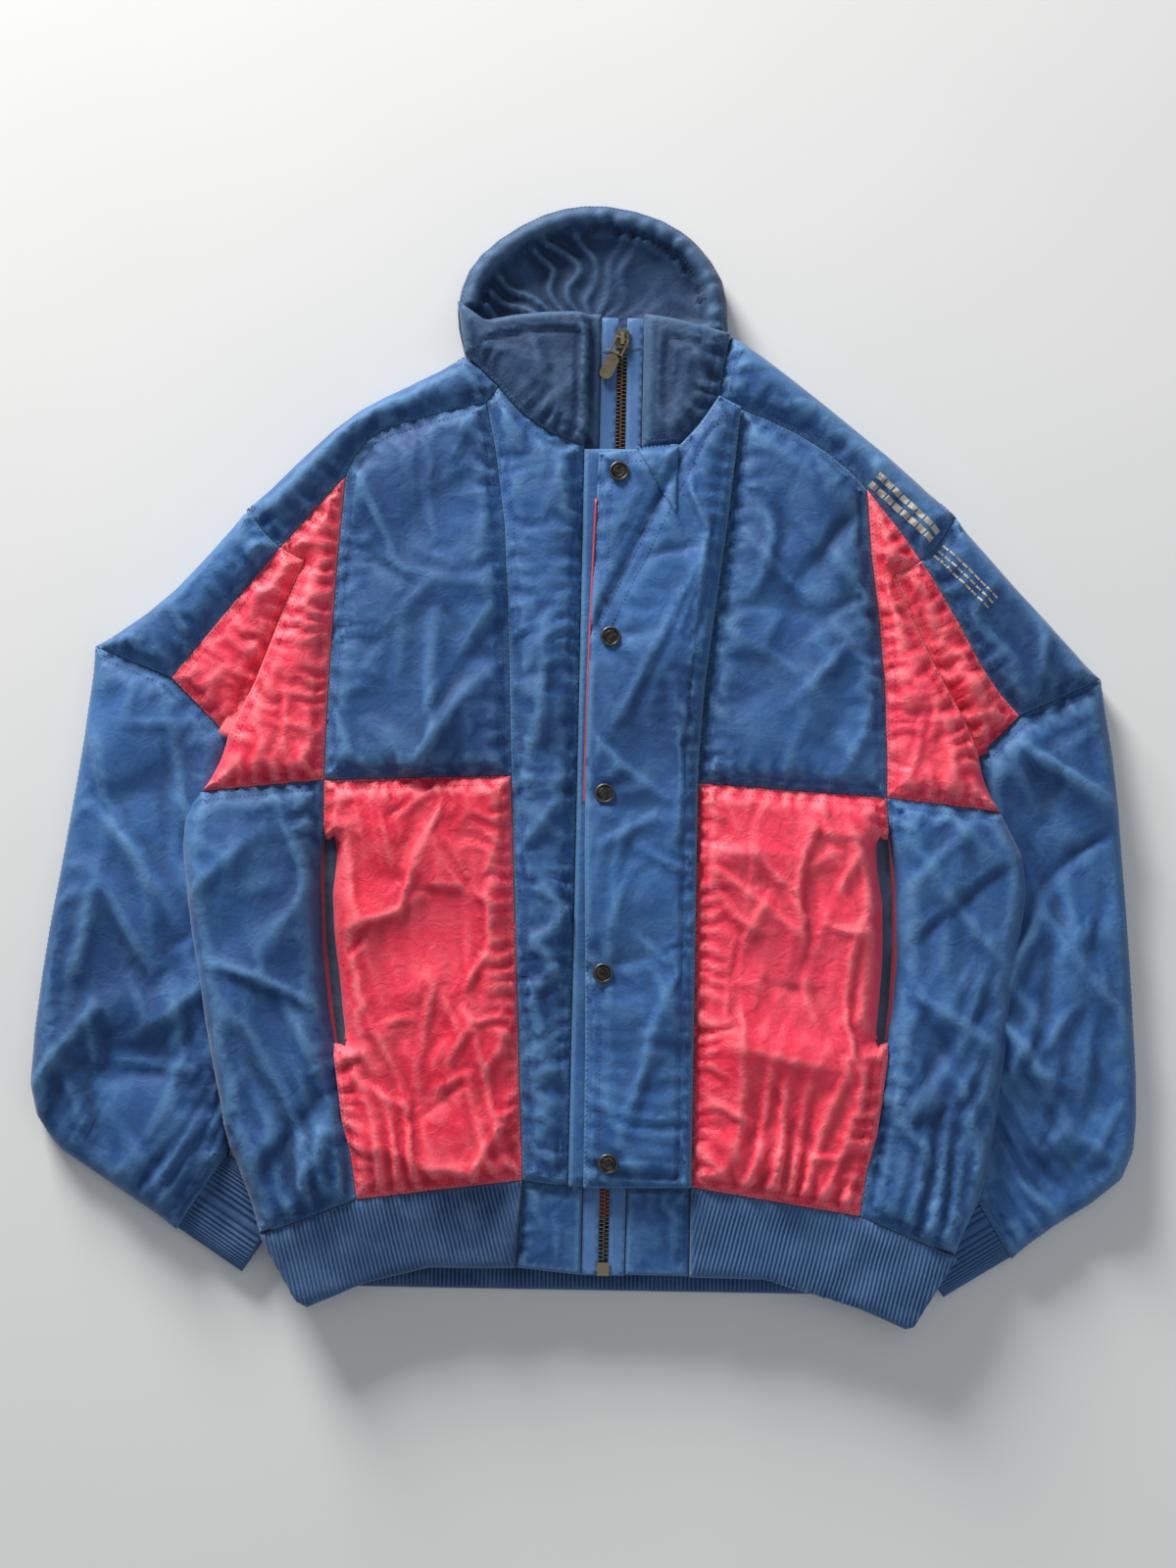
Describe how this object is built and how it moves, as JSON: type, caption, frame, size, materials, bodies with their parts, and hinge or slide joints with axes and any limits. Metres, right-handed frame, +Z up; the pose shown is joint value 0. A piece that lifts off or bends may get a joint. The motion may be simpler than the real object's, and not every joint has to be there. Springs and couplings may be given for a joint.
{
  "type": "ski jacket",
  "caption": "Padded ski jacket lying flat and zipped: blue shell with red panels, stand collar, snapped storm flap over a full zip, hand pockets, knitted hem and cuffs.",
  "frame": {"origin": "bottom centre of the whole jacket, on the surface it lies on", "axes": "+X towards the wearer's left, +Y towards the collar, +Z up out of the front of the jacket"},
  "size_m": [0.8283, 0.8485, 0.0509],
  "materials": {
    "blue_shell": "matt woven cotton and nylon shell, faded on the edges",
    "red_panel": "crisp nylon with a soft sheen",
    "rib_knit": "matt ribbed knit",
    "lining": "smooth taffeta",
    "pocketing": "plain pocket cloth",
    "zip_tape": "woven tape",
    "zip_metal": "antique brass, worn bright on the edges",
    "snap_metal": "dark gunmetal"
  },
  "bodies": {
    "body": {"back_shell": "blue_shell", "back_lining": "lining", "hem_rib_back": "rib_knit", "collar_back": "blue_shell", "hanger_loop": "zip_tape", "zip_fly": "blue_shell", "storm_flap_root": "blue_shell", "zip_box": "zip_metal", "right_chest_panel": "blue_shell", "right_upper_side": "red_panel", "right_lower_side": "blue_shell", "right_lower_panel": "red_panel", "right_pocket_bag": "pocketing", "right_shoulder": "blue_shell", "right_front_lining": "lining", "hem_rib_right": "rib_knit", "hem_tab_right": "blue_shell", "collar_right": "blue_shell", "right_centre_front": "blue_shell", "zip_teeth_right": "zip_metal", "zip_tape_right": "zip_tape", "left_chest_panel": "blue_shell", "left_upper_side": "red_panel", "left_lower_side": "blue_shell", "left_lower_panel": "red_panel", "left_pocket_bag": "pocketing", "left_shoulder": "blue_shell", "left_front_lining": "lining", "hem_rib_left": "rib_knit", "hem_tab_left": "blue_shell", "collar_left": "blue_shell", "left_centre_front": "blue_shell", "zip_teeth_left": "zip_metal", "zip_tape_left": "zip_tape", "snap_stud_1": "snap_metal", "snap_stud_2": "snap_metal", "snap_stud_3": "snap_metal", "snap_stud_4": "snap_metal", "snap_stud_5": "snap_metal"},
    "storm_flap": {"storm_flap": "blue_shell", "snap_cap_1": "snap_metal", "snap_cap_2": "snap_metal", "snap_cap_3": "snap_metal", "snap_cap_4": "snap_metal", "snap_cap_5": "snap_metal"},
    "zip_slider": {"zip_slider": "zip_metal"},
    "pull_link": {"pull_link": "zip_metal"},
    "pull_tag": {"pull_tag": "zip_metal"},
    "right_sleeve": {"right_sleeve_strip": "blue_shell", "right_sleeve_gusset": "red_panel", "right_forearm": "blue_shell", "right_sleeve_back": "blue_shell", "right_cuff": "rib_knit"},
    "left_sleeve": {"left_sleeve_strip": "blue_shell", "left_sleeve_gusset": "red_panel", "left_forearm": "blue_shell", "left_sleeve_back": "blue_shell", "left_cuff": "rib_knit"}
  },
  "joints": [
    {"name": "storm_flap_hinge", "type": "hinge", "parent": "body", "child": "storm_flap", "pos_m": [0.073, -0.3205, 0.0486], "axis": [0.0195, 0.9998, 0], "range_deg": [0, 165]},
    {"name": "zip_slide", "type": "slide", "parent": "body", "child": "zip_slider", "axis": [-0.0217, -0.9998, 0], "range_m": [0, 0.68]},
    {"name": "link_hinge", "type": "hinge", "parent": "zip_slider", "child": "pull_link", "pos_m": [0.0294, 0.314, 0.03565], "axis": [-0.904, 0.4275, 0], "range_deg": [0, 110]},
    {"name": "tag_hinge", "type": "hinge", "parent": "pull_link", "child": "pull_tag", "pos_m": [0.02427, 0.30315, 0.03565], "axis": [-0.904, 0.4275, 0], "range_deg": [0, 60]},
    {"name": "right_sleeve_swing", "type": "hinge", "parent": "body", "child": "right_sleeve", "pos_m": [-0.183, 0.215, 0], "axis": [0, 0, -1], "range_deg": [0, 40]},
    {"name": "left_sleeve_swing", "type": "hinge", "parent": "body", "child": "left_sleeve", "pos_m": [0.209, 0.205, 0], "axis": [0, 0, 1], "range_deg": [0, 40]}
  ]
}
